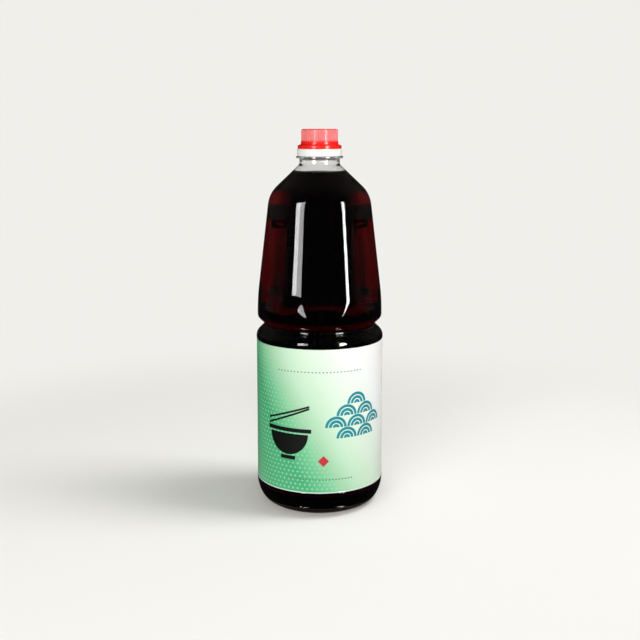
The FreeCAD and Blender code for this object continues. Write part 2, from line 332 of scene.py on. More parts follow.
def outlinePoints(corners, straightStep=2.0, bendStep=7.5):
    # points along an outline whose corners are rounded, close enough to look smooth
    points = [corners[0][:2]]

    def lineTo(end):
        start = points[-1]
        count = max(1, math.ceil(math.dist(start, end) / straightStep))
        for i in range(1, count + 1):
            points.append(tuple(a + (b - a) * i / count for a, b in zip(start, end)))

    for before, corner, after in zip(corners, corners[1:], corners[2:]):
        into = math.atan2(corner[1] - before[1], corner[0] - before[0])
        out = math.atan2(after[1] - corner[1], after[0] - corner[0])
        turn = math.remainder(out - into, 2 * math.pi)
        back = corner[2] * math.tan(abs(turn) / 2)
        lineTo((corner[0] - back * math.cos(into), corner[1] - back * math.sin(into)))
        if corner[2] > 0:
            side = math.copysign(1, turn)
            middle = (points[-1][0] - side * corner[2] * math.sin(into),
                      points[-1][1] + side * corner[2] * math.cos(into))
            count = max(3, math.ceil(abs(math.degrees(turn)) / bendStep))
            for i in range(1, count + 1):
                heading = into + turn * i / count
                points.append((middle[0] + side * corner[2] * math.sin(heading),
                               middle[1] - side * corner[2] * math.cos(heading)))
    lineTo(corners[-1][:2])
    return [p for i, p in enumerate(points) if i == 0 or math.dist(p, points[i - 1]) > 1e-6]


def latheMesh(outline, around):
    # turns an outline that starts and ends on the axis into a closed skin that faces outwards
    verts, faces, rows = [], [], []
    for r, z in outline:
        if r < 1e-6:
            rows.append([len(verts)] * around)
            verts.append((0, 0, z * mm))
            continue
        rows.append(list(range(len(verts), len(verts) + around)))
        for i in range(around):
            turn = 2 * math.pi * i / around
            verts.append((r * mm * math.cos(turn), r * mm * math.sin(turn), z * mm))
    for low, high in zip(rows, rows[1:]):
        for i in range(around):
            j = (i + 1) % around
            corners = [low[i], low[j], high[j], high[i]]
            face = [v for k, v in enumerate(corners) if v not in corners[:k]]
            if len(face) > 2:
                faces.append(face)
    return verts, faces


# Grip section: six soft sides and four thumb hollows, worked out by Geometry Nodes

grip = {
    "Sides start": (lipTop + 5.6) * mm,
    "Sides end": shoulderHeight * mm,
    "Side blend": 9.0 * mm,
    "Side curve": 1.57,
    "Corner curve": 0.38,
    "Grip radius": (bottle["bodyRadius"] - bottle["gripInset"]) * mm,
    "Taper": bottle["taper"],
    "Taper foot": (lipTop + bottle["straightHeight"]) * mm,
    "Rib half width": 25.5 * mm,
    "Thumb depth": 2.6 * mm,
    "Thumb wall turn": math.radians(13),
    "Thumb edge turn": math.radians(67),
    "Thumb foot": (lipTop + 13.1) * mm,
    "Thumb run out": 18.0 * mm,
    "Thumb shelf": (shoulderHeight - 24.1) * mm,
    "Thumb ramp": 3.5 * mm,
}


def makeGripTree():
    tree = bpy.data.node_groups.new("gripSection", "GeometryNodeTree")
    tree.interface.new_socket(name="Geometry", in_out="INPUT", socket_type="NodeSocketGeometry")
    tree.interface.new_socket(name="Geometry", in_out="OUTPUT", socket_type="NodeSocketGeometry")
    for name in grip:
        tree.interface.new_socket(name=name, in_out="INPUT", socket_type="NodeSocketFloat")
    tree.interface.new_socket(name="Material", in_out="INPUT", socket_type="NodeSocketMaterial")
    start = addNode(tree, "NodeGroupInput")
    position = addNode(tree, "GeometryNodeInputPosition")
    xyz = addNode(tree, "ShaderNodeSeparateXYZ", {0: position.outputs[0]})
    values = {name: start.outputs[name] for name in grip}
    values.update(x=xyz.outputs["X"], y=xyz.outputs["Y"], z=xyz.outputs["Z"])
    sixth, half = math.pi / 3, math.pi / 2
    runSteps(tree, [
        ("front", "MULTIPLY", "y", -1.0),
        ("turn", "ARCTAN2", "x", "front"),
        ("xx", "MULTIPLY", "x", "x"),
        ("rr", "MULTIPLY_ADD", "y", "y", "xx"),
        ("r", "SQRT", "rr"),
        ("rSafe", "MAXIMUM", "r", 0.001),
        # six-sided outline: a shallow arc on each side, a tighter one on each corner
        ("wrapped", "WRAP", "turn", sixth / 2, -sixth / 2),
        ("fromSide", "ABSOLUTE", "wrapped"),
        ("toCorner", "SUBTRACT", sixth / 2, "fromSide"),
        ("cornerCentre", "SUBTRACT", 1.0, "Corner curve"),
        ("cornerAcross", "MULTIPLY", "cornerCentre", math.sin(sixth / 2)),
        ("between", "SUBTRACT", "Side curve", "Corner curve"),
        ("betweenSq", "MULTIPLY", "between", "between"),
        ("acrossSq", "MULTIPLY", "cornerAcross", "cornerAcross"),
        ("alongSq", "SUBTRACT", "betweenSq", "acrossSq"),
        ("along", "SQRT", "alongSq"),
        ("cornerAlong", "MULTIPLY", "cornerCentre", math.cos(sixth / 2)),
        ("sideCentre", "SUBTRACT", "along", "cornerAlong"),
        ("jointGain", "DIVIDE", "Side curve", "between"),
        ("jointAcross", "MULTIPLY", "cornerAcross", "jointGain"),
        ("jointAcrossSq", "MULTIPLY", "jointAcross", "jointAcross"),
        ("sideSq", "MULTIPLY", "Side curve", "Side curve"),
        ("jointAlongSq", "SUBTRACT", "sideSq", "jointAcrossSq"),
        ("jointReach", "SQRT", "jointAlongSq"),
        ("jointAlong", "SUBTRACT", "jointReach", "sideCentre"),
        ("jointTurn", "ARCTAN2", "jointAcross", "jointAlong"),
        ("sinSide", "SINE", "fromSide"),
        ("cosSide", "COSINE", "fromSide"),
        ("sideOff", "MULTIPLY", "sideCentre", "sinSide"),
        ("sideOffSq", "MULTIPLY", "sideOff", "sideOff"),
        ("sideRest", "SUBTRACT", "sideSq", "sideOffSq"),
        ("sideRoot", "SQRT", "sideRest"),
        ("sideBack", "MULTIPLY", "sideCentre", "cosSide"),
        ("sideShare", "SUBTRACT", "sideRoot", "sideBack"),
        ("sinCorner", "SINE", "toCorner"),
        ("cosCorner", "COSINE", "toCorner"),
        ("cornerOff", "MULTIPLY", "cornerCentre", "sinCorner"),
        ("cornerOffSq", "MULTIPLY", "cornerOff", "cornerOff"),
        ("cornerSq", "MULTIPLY", "Corner curve", "Corner curve"),
        ("cornerRest", "SUBTRACT", "cornerSq", "cornerOffSq"),
        ("cornerRoot", "SQRT", "cornerRest"),
        ("cornerShare", "MULTIPLY_ADD", "cornerCentre", "cosCorner", "cornerRoot"),
        ("onSide", "LESS_THAN", "fromSide", "jointTurn"),
        ("gain", "SUBTRACT", "sideShare", "cornerShare"),
        ("outline", "MULTIPLY_ADD", "gain", "onSide", "cornerShare"),
        ("lack", "SUBTRACT", 1.0, "outline"),
        ("riseEnd", "ADD", "Sides start", "Side blend"),
        ("rise", "SMOOTHSTEP", "z", "Sides start", "riseEnd"),
        ("halfBlend", "MULTIPLY", "Side blend", 0.5),
        ("fallStart", "SUBTRACT", "Sides end", "halfBlend"),
        ("fallEnd", "ADD", "Sides end", "halfBlend"),
        ("fallen", "SMOOTHSTEP", "z", "fallStart", "fallEnd"),
        ("fall", "SUBTRACT", 1.0, "fallen"),
        ("blend", "MULTIPLY", "rise", "fall"),
        ("flatness", "MULTIPLY", "blend", "lack"),
        # thumb hollows: a steep wall beside each rib, running out towards the side edge
        ("facing", "WRAP", "turn", half, -half),
        ("fromFace", "ABSOLUTE", "facing"),
        ("aboveFoot", "SUBTRACT", "z", "Taper foot"),
        ("tapered", "MAXIMUM", "aboveFoot", 0.0),
        ("drawnIn", "MULTIPLY", "tapered", "Taper"),
        ("outerReach", "SUBTRACT", "Grip radius", "drawnIn"),
        ("ribShare", "DIVIDE", "Rib half width", "outerReach"),
        ("ribShareSafe", "MINIMUM", "ribShare", 1.0),
        ("wallStart", "ARCSINE", "ribShareSafe"),
        ("wallEnd", "ADD", "wallStart", "Thumb wall turn"),
        ("down", "SMOOTHSTEP", "fromFace", "wallStart", "wallEnd"),
        ("outRun", "LINEAR", "fromFace", "wallEnd", "Thumb edge turn"),
        ("out", "SUBTRACT", 1.0, "outRun"),
        ("rampEnd", "ADD", "Thumb shelf", "Thumb ramp"),
        ("rampRun", "LINEAR", "z", "Thumb shelf", "rampEnd"),
        ("ramp", "SUBTRACT", 1.0, "rampRun"),
        ("footEnd", "ADD", "Thumb foot", "Thumb run out"),
        ("foot", "SMOOTHSTEP", "z", "Thumb foot", "footEnd"),
        ("wide", "MULTIPLY", "down", "out"),
        ("tall", "MULTIPLY", "ramp", "foot"),
        ("hollow", "MULTIPLY", "wide", "tall"),
        ("sink", "MULTIPLY", "hollow", "Thumb depth"),
        ("inward", "MULTIPLY_ADD", "r", "flatness", "sink"),
        ("inwardShare", "DIVIDE", "inward", "rSafe"),
        ("moveShare", "MULTIPLY", "inwardShare", -1.0),
        ("moveX", "MULTIPLY", "x", "moveShare"),
        ("moveY", "MULTIPLY", "y", "moveShare"),
    ], values)
    offset = addNode(tree, "ShaderNodeCombineXYZ", {0: values["moveX"], 1: values["moveY"]})
    moved = addNode(tree, "GeometryNodeSetPosition",
                    {"Geometry": start.outputs["Geometry"], "Offset": offset.outputs[0]})
    real = addNode(tree, "GeometryNodeRealizeInstances", {0: moved.outputs[0]})
    painted = addNode(tree, "GeometryNodeSetMaterial",
                      {0: real.outputs[0], "Material": start.outputs["Material"]})
    addNode(tree, "NodeGroupOutput", {0: painted.outputs[0]})
    return tree


def shapeGrip(piece, material):
    modifier = piece.modifiers.new("gripSection", "NODES")
    modifier.node_group = gripTree
    for item in gripTree.interface.items_tree:
        if item.item_type == "SOCKET" and item.in_out == "INPUT" and item.name in grip:
            modifier[item.identifier] = grip[item.name]
        elif item.item_type == "SOCKET" and item.name == "Material":
            modifier[item.identifier] = material
    applyNodes(piece)


gripTree = makeGripTree()
print("grip section rule ready")


# Blown PET: stretched thin and glossy, so its highlights are sharp but waver a little, as the
# wall is never quite even. A faint parting line of the mould runs down the front and back.
petLook = {
    "tint": (0.93, 0.93, 0.925, 1), "ior": 1.575, "roughness": 0.015,
    "waveSize": 0.030, "waveDepth": 0.000015,
    "lineOffset": 0.0015, "lineHalfWidth": 0.00022, "lineDepth": 0.00003,
}


def makePet(name, wet):
    # where the sauce wets the inside, almost nothing reflects between the two
    material, tree = newMaterial(name)
    place = addNode(tree, "ShaderNodeTexCoord")
    wave = addNode(tree, "ShaderNodeTexNoise", {"Vector": place.outputs["Object"],
                   "Scale": 1 / petLook["waveSize"], "Detail": 1.0, "Roughness": 0.4})
    xyz = addNode(tree, "ShaderNodeSeparateXYZ", {0: place.outputs["Object"]})
    values = runSteps(tree, [
        ("fromLine", "SUBTRACT", "x", petLook["lineOffset"]),
        ("off", "ABSOLUTE", "fromLine"),
        ("beside", "SMOOTHSTEP", "off", petLook["lineHalfWidth"], 0.0),
        ("lineHeight", "MULTIPLY", "beside", petLook["lineDepth"]),
        ("waveHeight", "MULTIPLY", "wave", petLook["waveDepth"]),
        ("height", "ADD", "lineHeight", "waveHeight"),
    ], {"x": xyz.outputs["X"], "wave": wave.outputs["Fac"]})
    bump = addNode(tree, "ShaderNodeBump", {"Height": values["height"], "Strength": 1.0, "Distance": 1.0})
    glass = addNode(tree, "ShaderNodeBsdfPrincipled", {"Base Color": petLook["tint"],
                    "Transmission Weight": 1.0, "IOR": petLook["ior"], "Roughness": petLook["roughness"],
                    "Normal": bump.outputs[0]})
    if wet:
        glass.inputs["Specular Tint"].default_value = (0, 0, 0, 1)
    path = addNode(tree, "ShaderNodeLightPath")
    clear = addNode(tree, "ShaderNodeBsdfTransparent")
    mix = addNode(tree, "ShaderNodeMixShader",
                  {0: path.outputs["Is Shadow Ray"], 1: glass.outputs[0], 2: clear.outputs[0]})
    addNode(tree, "ShaderNodeOutputMaterial", {"Surface": mix.outputs[0]})
    return material


blownPet = makePet("blownPet", False)
wetPet = makePet("blownPetWetInside", True)

corners = bodyCorners(bottle["neckRadius"])
neck, ringRadius = bottle["neckRadius"], bottle["neckRadius"] + bottle["ringReach"]
bore = neck - bottle["neckWall"]
outer = corners[:-1] + [
    (neck, ringBottom, 0),
    (ringRadius, ringBottom, bottle["ringRounding"]),
    (ringRadius, ringTop, bottle["ringRounding"]),
    (neck, ringTop, 0),
    (neck, mouthHeight, bottle["mouthRounding"]),
    (bore, mouthHeight, 0),
]
innerCorners = insetCorners(bodyCorners(bore + bottle["wall"]), bottle["wall"])
fillHeight = neckBottom - bottle["headspace"]
outside = outlinePoints(outer)
outline = outside + outlinePoints(innerCorners)[::-1][1:]
verts, faces = latheMesh(outline, bottle["around"])
shell = newPiece("bottleShell", verts, faces)
shapeGrip(shell, blownPet)
shell.data.materials.append(wetPet)
for face in shell.data.polygons:
    row = face.index // bottle["around"]
    if row >= len(outside) and outline[row][1] < fillHeight:
        face.material_index = 1
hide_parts("bottle")
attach(shell, "root")
print("bottle made,", len(shell.data.polygons), "faces")


# Soy sauce with stock: near black in depth, and clear dark red where it is only a few centimetres
# thick, because it swallows blue and green much faster than red.
sauceLook = {"ior": 1.37, "perMetre": 600.0, "passes": (0.928, 0.68, 0.50, 1.0), "shine": 0.03}

sauce, tree = newMaterial("soySauceLiquid")
body = addNode(tree, "ShaderNodeBsdfPrincipled", {"Base Color": (1, 1, 1, 1), "Transmission Weight": 1.0,
               "IOR": sauceLook["ior"], "Roughness": 0.0, "Specular Tint": (sauceLook["shine"],) * 3 + (1,)})
depth = addNode(tree, "ShaderNodeVolumeAbsorption",
                {"Color": sauceLook["passes"], "Density": sauceLook["perMetre"]})
addNode(tree, "ShaderNodeOutputMaterial", {"Surface": body.outputs[0], "Volume": depth.outputs[0]})

wetCorners = insetCorners(bodyCorners(bore + bottle["wall"]), bottle["sauceIntoWall"])
outline = [p for p in outlinePoints(wetCorners) if p[1] <= fillHeight + bottle["meniscus"]]
wallRadius = outline[-1][0]
for share in (0.15, 0.3, 0.5, 0.75, 1.0):
    outline.append((wallRadius - bottle["wall"] - bottle["meniscusRun"] * share,
                    fillHeight + bottle["meniscus"] * (1 - share) ** bottle["meniscusCurve"]))
rings = bottle["levelRings"]
outline += [((wallRadius - bottle["levelInset"]) * (1 - i / rings), fillHeight) for i in range(1, rings + 1)]
verts, faces = latheMesh(outline, bottle["around"])
liquid = newPiece("sauceFill", verts, faces)
shapeGrip(liquid, sauce)
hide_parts("tsuyu")
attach(liquid, "root")
print("sauce filled to", round(fillHeight, 1), "mm")


# Label: one paper sheet wrapped round the panel, lapped at the back

label = {
    "bottom": bottle["panelBottom"] + 0.25,  # a bare margin of 0.25 is left below and above
    "height": bottle["panelHeight"] - 2 * 0.25,
    "radius": bottle["bodyRadius"] - bottle["panelDepth"],
    "thickness": 0.2,
    "overlap": 9.0,
    "lift": 0.02,          # keeps the sheet's back just off the plastic
    "edgeWander": 0.22,    # how far the cut top edge wanders,
    "roughFrom": -20, "roughRun": 30,  # most of all at the left, where the cutter lifted
    "lapRun": 1.0,         # the sheet climbs over its own end in this length
    "steps": 320,
}
labelLength = 2 * math.pi * label["radius"] + label["overlap"]
frontAt = math.pi * label["radius"]  # the sheet starts at the back, so its front middle is half way round

# Coated paper: smooth and softly shiny, with a faint fibre grain and a printed wash that runs from deep leaf
# green at the lower left to bare white at the upper right, and a lattice of fine dots. The wash also holds
# painted light: a painted highlight at its far left and painted shade towards its top.
paperLook = {
    # the wash's colours, by millimetres right of the front middle at the label's foot; the far left stop is
    # lighter, partly print and partly a painted highlight along the label's left edge
    "wash": [(-60, "#72c493"), (-40, "#50b77d"), (-8, "#41b076"), (8, "#72c893"), (22, "#a3d6ad"),
             (38, "#c5e7c9"), (55, "#d9efda"), (75, "#e9f5e9"), (95, "#f7fafa"), (112, "#fdfdfe")],
    # partly painted shade: the wash climbs gently with height so that the top of the label, which catches
    # more light, comes out darker
    "washSlope": 0.60,     # how much one millimetre up counts against one to the right
    "dotSpacing": 3.9, "dotRadius": 0.85, "dotBlur": (0.25, 0.45), "dotColour": "#c4ecd2",
    "dotFade": (34.0, -12.0), "dotStrength": 0.55,  # the lattice dies out with the green
    "bare": "#f2f7f3", "footStripRun": (0.85, 0.45),    # a pale strip runs along the foot
    "roughness": 0.42, "ior": 1.5, "grainSize": 0.0004, "grainDepth": 0.00003, "grainStrength": 0.15,
}

labelPaper, tree = newMaterial("coatedLabelPaper")
sheet = addNode(tree, "ShaderNodeUVMap", uv_map="sheet")
uv = addNode(tree, "ShaderNodeSeparateXYZ", {0: sheet.outputs[0]})
low, high = paperLook["wash"][0][0], paperLook["wash"][-1][0]
pitches = {"X": paperLook["dotSpacing"], "Y": paperLook["dotSpacing"] * math.sqrt(3)}


def fromDots(name, shift):
    # the steps that find how far a place is from the nearest dot of one set, squared
    steps = []
    for axis, pitch in pitches.items():
        part = name + axis
        steps += [
            (part, "ADD", "lattice" + axis, shift),
            (part + "Share", "FRACT", part),
            (part + "Centred", "SUBTRACT", part + "Share", 0.5),
            (part + "Off", "MULTIPLY", part + "Centred", pitch),
        ]
    return steps + [
        (name + "XSq", "MULTIPLY", name + "XOff", name + "XOff"),
        (name + "Sq", "MULTIPLY_ADD", name + "YOff", name + "YOff", name + "XSq"),
    ]


values = runSteps(tree, [
    ("along", "MULTIPLY_ADD", "u", labelLength, -frontAt),      # millimetres right of the front middle
    ("up", "MULTIPLY", "v", label["height"]),                   # millimetres above the label's foot
    ("slant", "MULTIPLY_ADD", "up", paperLook["washSlope"], "along"),
    ("wash", "LINEAR", "slant", float(low), float(high)),
    # two sets of dots, the second set between the first
    ("latticeX", "DIVIDE", "along", pitches["X"]),
    ("latticeY", "DIVIDE", "up", pitches["Y"]),
    *fromDots("first", 0.0),
    *fromDots("second", 0.5),
    ("nearSq", "MINIMUM", "firstSq", "secondSq"),
    ("near", "SQRT", "nearSq"),
    ("dot", "SMOOTHSTEP", "near", paperLook["dotRadius"] + paperLook["dotBlur"][0],
     paperLook["dotRadius"] - paperLook["dotBlur"][1]),
    ("fade", "SMOOTHSTEP", "slant", *paperLook["dotFade"]),
    ("strength", "MULTIPLY", "fade", paperLook["dotStrength"]),
    ("dots", "MULTIPLY", "dot", "strength"),
    ("rim", "SMOOTHSTEP", "up", *paperLook["footStripRun"]),
], {"u": uv.outputs["X"], "v": uv.outputs["Y"]})
ramp = addNode(tree, "ShaderNodeValToRGB", {0: values["wash"]})
stops = ramp.color_ramp.elements
while len(stops) < len(paperLook["wash"]):
    stops.new(0.5)
for stop, (at, colour) in zip(stops, paperLook["wash"]):
    stop.position = (at - low) / (high - low)
    stop.color = linear(colour)
printed = addNode(tree, "ShaderNodeMix", {0: values["dots"], 6: ramp.outputs[0],
                  7: linear(paperLook["dotColour"])}, data_type="RGBA")
rimmed = addNode(tree, "ShaderNodeMix", {0: values["rim"], 6: printed.outputs[2],
                 7: linear(paperLook["bare"])}, data_type="RGBA")
place = addNode(tree, "ShaderNodeTexCoord")
grain = addGrain(tree, place, paperLook)
bump = addGrainBump(tree, grain, paperLook)
paper = addNode(tree, "ShaderNodeBsdfPrincipled", {"Base Color": rimmed.outputs[2],
                "Roughness": paperLook["roughness"], "IOR": paperLook["ior"], "Normal": bump.outputs[0]})
addNode(tree, "ShaderNodeOutputMaterial", {"Surface": paper.outputs[0]})


def labelPoint(along, up, lift):
    # a place on the wrapped sheet, from millimetres right of the front middle and above its foot
    turn = along / label["radius"] - math.pi / 2
    radius = (label["radius"] + lift) * mm
    return (radius * math.cos(turn), radius * math.sin(turn), (label["bottom"] + up) * mm)


def topEdge(along):
    # the cut top edge: three waves of unlike length
    wander = math.sin(along * 0.9) + 0.6 * math.sin(along * 2.3 + 1) + 0.4 * math.sin(along * 5.1)
    rough = clamped((label["roughFrom"] - along) / label["roughRun"])
    return label["height"] - label["edgeWander"] * (0.25 + rough) * (1 + wander / 2)


verts, faces, uvs = [], [], []
rowsUp = 24
for i in range(label["steps"] + 1):
    run = labelLength * i / label["steps"]
    lapped = clamped((run - 2 * math.pi * label["radius"] + label["lapRun"]) / label["lapRun"])
    back = label["lift"] + lapped * label["thickness"]
    for side in (back, back + label["thickness"] - label["lift"]):
        for j in range(rowsUp + 1):
            up = topEdge(run - frontAt) * j / rowsUp
            verts.append(labelPoint(run - frontAt, up, side))
            uvs.append((run / labelLength, up / label["height"]))
column = 2 * (rowsUp + 1)
for i in range(label["steps"]):
    a, b = i * column, (i + 1) * column
    for j in range(rowsUp):
        faces.append((a + j + 1, b + j + 1, b + j, a + j))
        aFront, bFront = a + rowsUp + 1 + j, b + rowsUp + 1 + j
        faces.append((aFront, bFront, bFront + 1, aFront + 1))
    faces.append((a + 2 * rowsUp + 1, b + 2 * rowsUp + 1, b + rowsUp, a + rowsUp))
    faces.append((a, b, b + rowsUp + 1, a + rowsUp + 1))
for j in range(rowsUp):
    faces.append((j, j + rowsUp + 1, j + rowsUp + 2, j + 1))
    end = label["steps"] * column + j
    faces.append((end + 1, end + rowsUp + 2, end + rowsUp + 1, end))
wrap = newPiece("labelWrap", verts, faces, labelPaper)
layer = wrap.data.uv_layers.new(name="sheet")
for loop in wrap.data.loops:
    layer.data[loop.index].uv = uvs[loop.vertex_index]
wrap.data.set_sharp_from_angle(angle=math.radians(40))
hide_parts("label")
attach(wrap, "root")
print("label wrapped")


# Printed motifs: a noodle bowl, wave fans, a diamond and dotted rules, all plain and traditional

motifs = {
    "inkLift": 0.215, "inkDepth": 0.035,  # the film's top above the panel, and its thickness
    "pinhole": 0.0001,                    # a full disc is a ring with this hole
    "bowl": {"at": (-26.0, 47.0), "radius": 17.0, "rim": 3.2, "rimGap": 1.3, "rimReach": 2.5,
             "foot": (6.5, 3.0), "footGap": 0.8},
    "sticks": {"from": (-45.0, 53.0), "to": (-8.0, 68.0), "gap": 4.2, "pinch": 0.4, "width": 1.5},
    "waves": {"at": (31.0, 44.0), "radius": 9.0, "inset": 0.25, "bands": 3, "bandWidth": 2.2, "gap": 0.8,
              "rows": (2, 3, 2, 1)},
    "diamond": {"at": (3.0, 26.0), "size": 4.4},
    "topDots": {"up": 97.0, "from": -34.0, "to": 34.0, "count": 25, "radius": 0.55},
    "footDots": {"up": 11.0, "from": -26.0, "to": 26.0, "count": 21, "radius": 0.6},
}


def inkPatch(verts, faces, shape, wide, tall):
    # adds a thin raised film of ink: shape gives (along, up) for two shares from 0 to 1
    base = len(verts)
    size = (wide + 1) * (tall + 1)
    for lift in (motifs["inkLift"] - motifs["inkDepth"], motifs["inkLift"]):
        for j in range(tall + 1):
            for i in range(wide + 1):
                verts.append(labelPoint(*shape(i / wide, j / tall), lift))
    for j in range(tall):
        for i in range(wide):
            a = base + j * (wide + 1) + i
            b = a + wide + 1
            faces.append((a, b, b + 1, a + 1))
            faces.append((a + size, a + 1 + size, b + 1 + size, b + size))
    rim = [base + i for i in range(wide + 1)]
    rim += [base + j * (wide + 1) + wide for j in range(1, tall + 1)]
    rim += [base + tall * (wide + 1) + i for i in range(wide - 1, -1, -1)]
    rim += [base + j * (wide + 1) for j in range(tall - 1, 0, -1)]
    for a, b in zip(rim, rim[1:] + rim[:1]):
        faces.append((a, b, b + size, a + size))


def ringPatch(verts, faces, at, inner, outerRadius, start, end, steps=28):
    # part of a flat ring, between two turns in degrees
    def shape(i, j):
        turn = math.radians(end + (start - end) * i)
        radius = inner + (outerRadius - inner) * j
        return at[0] + radius * math.cos(turn), at[1] + radius * math.sin(turn)
    inkPatch(verts, faces, shape, steps, max(1, math.ceil((outerRadius - inner) / 1.5)))


def barPatch(verts, faces, start, end, width):
    length = math.dist(start, end)
    across = (-(end[1] - start[1]) / length * width / 2, (end[0] - start[0]) / length * width / 2)

    def shape(i, j):
        side = 2 * j - 1
        return (start[0] + (end[0] - start[0]) * i + across[0] * side,
                start[1] + (end[1] - start[1]) * i + across[1] * side)
    inkPatch(verts, faces, shape, 16, 1)


# Offset ink on coated paper: flat colour, about as glossy as the bare sheet, and a little uneven
# where it soaked in
inkLook = {"mottleScale": 900.0, "tones": (0.93, 1.07), "ior": 1.5, "shine": 0.3}


def printingInk(name, colour, finish):
    material, tree = newMaterial(name)
    place = addNode(tree, "ShaderNodeTexCoord")
    mottle = addNode(tree, "ShaderNodeTexNoise",
                     {"Vector": place.outputs["Object"], "Scale": inkLook["mottleScale"], "Detail": 2.0})
    tone = addNode(tree, "ShaderNodeMapRange",
                   {0: mottle.outputs["Fac"], 3: inkLook["tones"][0], 4: inkLook["tones"][1]})
    shade = addNode(tree, "ShaderNodeHueSaturation", {"Value": tone.outputs[0], "Color": linear(colour)})
    film = addNode(tree, "ShaderNodeBsdfPrincipled", {"Base Color": shade.outputs[0], "Roughness": finish,
                   "IOR": inkLook["ior"], "Specular IOR Level": inkLook["shine"]})
    addNode(tree, "ShaderNodeOutputMaterial", {"Surface": film.outputs[0]})
    return material


inkSets = {"blackInk": ([], []), "tealInk": ([], []), "redInk": ([], []), "greyInk": ([], [])}

verts, faces = inkSets["blackInk"]
bowl = motifs["bowl"]
x, y = bowl["at"]
ringPatch(verts, faces, (x, y), motifs["pinhole"], bowl["radius"], 180, 360, 40)
rimUp = y + bowl["rim"] / 2 + bowl["rimGap"]
rimHalf = bowl["radius"] + bowl["rimReach"]
barPatch(verts, faces, (x - rimHalf, rimUp), (x + rimHalf, rimUp), bowl["rim"])
footHalf, footTall = bowl["foot"]
footUp = y - bowl["radius"] - footTall / 2 - bowl["footGap"]
barPatch(verts, faces, (x - footHalf, footUp), (x + footHalf, footUp), footTall)
sticks = motifs["sticks"]
for shift in (0, sticks["gap"]):
    barPatch(verts, faces, (sticks["from"][0], sticks["from"][1] + shift),
             (sticks["to"][0], sticks["to"][1] + shift * sticks["pinch"]), sticks["width"])

verts, faces = inkSets["tealInk"]
waves = motifs["waves"]
for row, count in enumerate(waves["rows"]):
    for column in range(count):
        at = (waves["at"][0] + (column - (count - 1) / 2) * 2 * waves["radius"],
              waves["at"][1] + row * waves["radius"])
        for band in range(waves["bands"]):
            bandRadius = waves["radius"] - waves["inset"] - band * (waves["bandWidth"] + waves["gap"])
            ringPatch(verts, faces, at, bandRadius - waves["bandWidth"], bandRadius, 0, 180)

verts, faces = inkSets["redInk"]
diamond = motifs["diamond"]
x, y = diamond["at"]
size = diamond["size"]
inkPatch(verts, faces, lambda i, j: (x + size * (i - j), y + size * (i + j - 1)), 6, 6)

verts, faces = inkSets["greyInk"]
for dots in (motifs["topDots"], motifs["footDots"]):
    for i in range(dots["count"]):
        at = (dots["from"] + (dots["to"] - dots["from"]) * i / (dots["count"] - 1), dots["up"])
        ringPatch(verts, faces, at, motifs["pinhole"], dots["radius"], 0, 359.9, 12)

inkColours = {"blackInk": ("#0c120c", 0.5), "tealInk": ("#0a8f9c", 0.40), "redInk": ("#c2323a", 0.40),
              "greyInk": ("#5c6b5f", 0.45)}
for name, (verts, faces) in inkSets.items():
    inkName = "printed" + name[0].upper() + name[1:]
    ink = newPiece(name, verts, faces, printingInk(inkName, *inkColours[name]))
    ink.data.polygons.foreach_set("use_smooth", [False] * len(ink.data.polygons))
    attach(ink, "root")
print("label printed")


# Screw cap: turned body in mesh code, grip ridges by Geometry Nodes

cap = {
    "bottom": ringTop + 5.9,
    "flangeRadius": 17.5, "flangeHeight": 2.6, "flangeSlope": 1.0,
    "bandRadius": 14.95, "bandHeight": 2.1,
    "knobRadius": 14.65, "knobHeight": 9.9, "ridgeDepth": 0.35, "wall": 1.6,
    "flangeRounding": 0.35, "bandRounding": 0.3, "crownRounding": 0.9,
    "ridgeCount": 60, "ridgeRadius": 0.42, "ridgeSides": 12,
    "ridgeSink": 0.1, "ridgeStopsShort": 0.85, "ridgeTip": 0.45, "ridgeTipShare": 0.45,
    "around": 120,
}
flangeTop = cap["bottom"] + cap["flangeHeight"]
bandBottom = flangeTop + cap["flangeSlope"]
bandTop = bandBottom + cap["bandHeight"]
capTop = bandTop + cap["knobHeight"]
rootRadius = cap["knobRadius"] - cap["ridgeDepth"]
hollow = rootRadius - cap["wall"]

# Moulded polypropylene, pigmented red: a waxy, slightly see-through plastic with soft broad highlights and a
# very fine grain from the mould. The ridged knob is painted paler, a painted sheen that stands in for a broad
# reflection on the ridges.
capLook = {
    "colour": "#f0231c", "roughness": 0.20, "ior": 1.49,
    # painted sheen: the pale pink mixed into the knob is a reflection painted into the colour
    "paintedSheen": "#f79a9c", "paintedSheenShare": 0.6, "paintedSheenFoot": 1.5, "paintedSheenTop": 1.2,
    "grainSize": 0.0005, "grainDepth": 0.00004, "grainStrength": 0.12,
    "cloudScale": 120.0, "tones": (0.97, 1.03),
}

redPlastic, tree = newMaterial("mouldedPolypropyleneRed")
place = addNode(tree, "ShaderNodeTexCoord")
grain = addGrain(tree, place, capLook)
bump = addGrainBump(tree, grain, capLook)
cloud = addNode(tree, "ShaderNodeTexNoise",
                {"Vector": place.outputs["Object"], "Scale": capLook["cloudScale"], "Detail": 1.0})
tone = addNode(tree, "ShaderNodeMapRange",
               {0: cloud.outputs["Fac"], 3: capLook["tones"][0], 4: capLook["tones"][1]})
xyz = addNode(tree, "ShaderNodeSeparateXYZ", {0: place.outputs["Object"]})
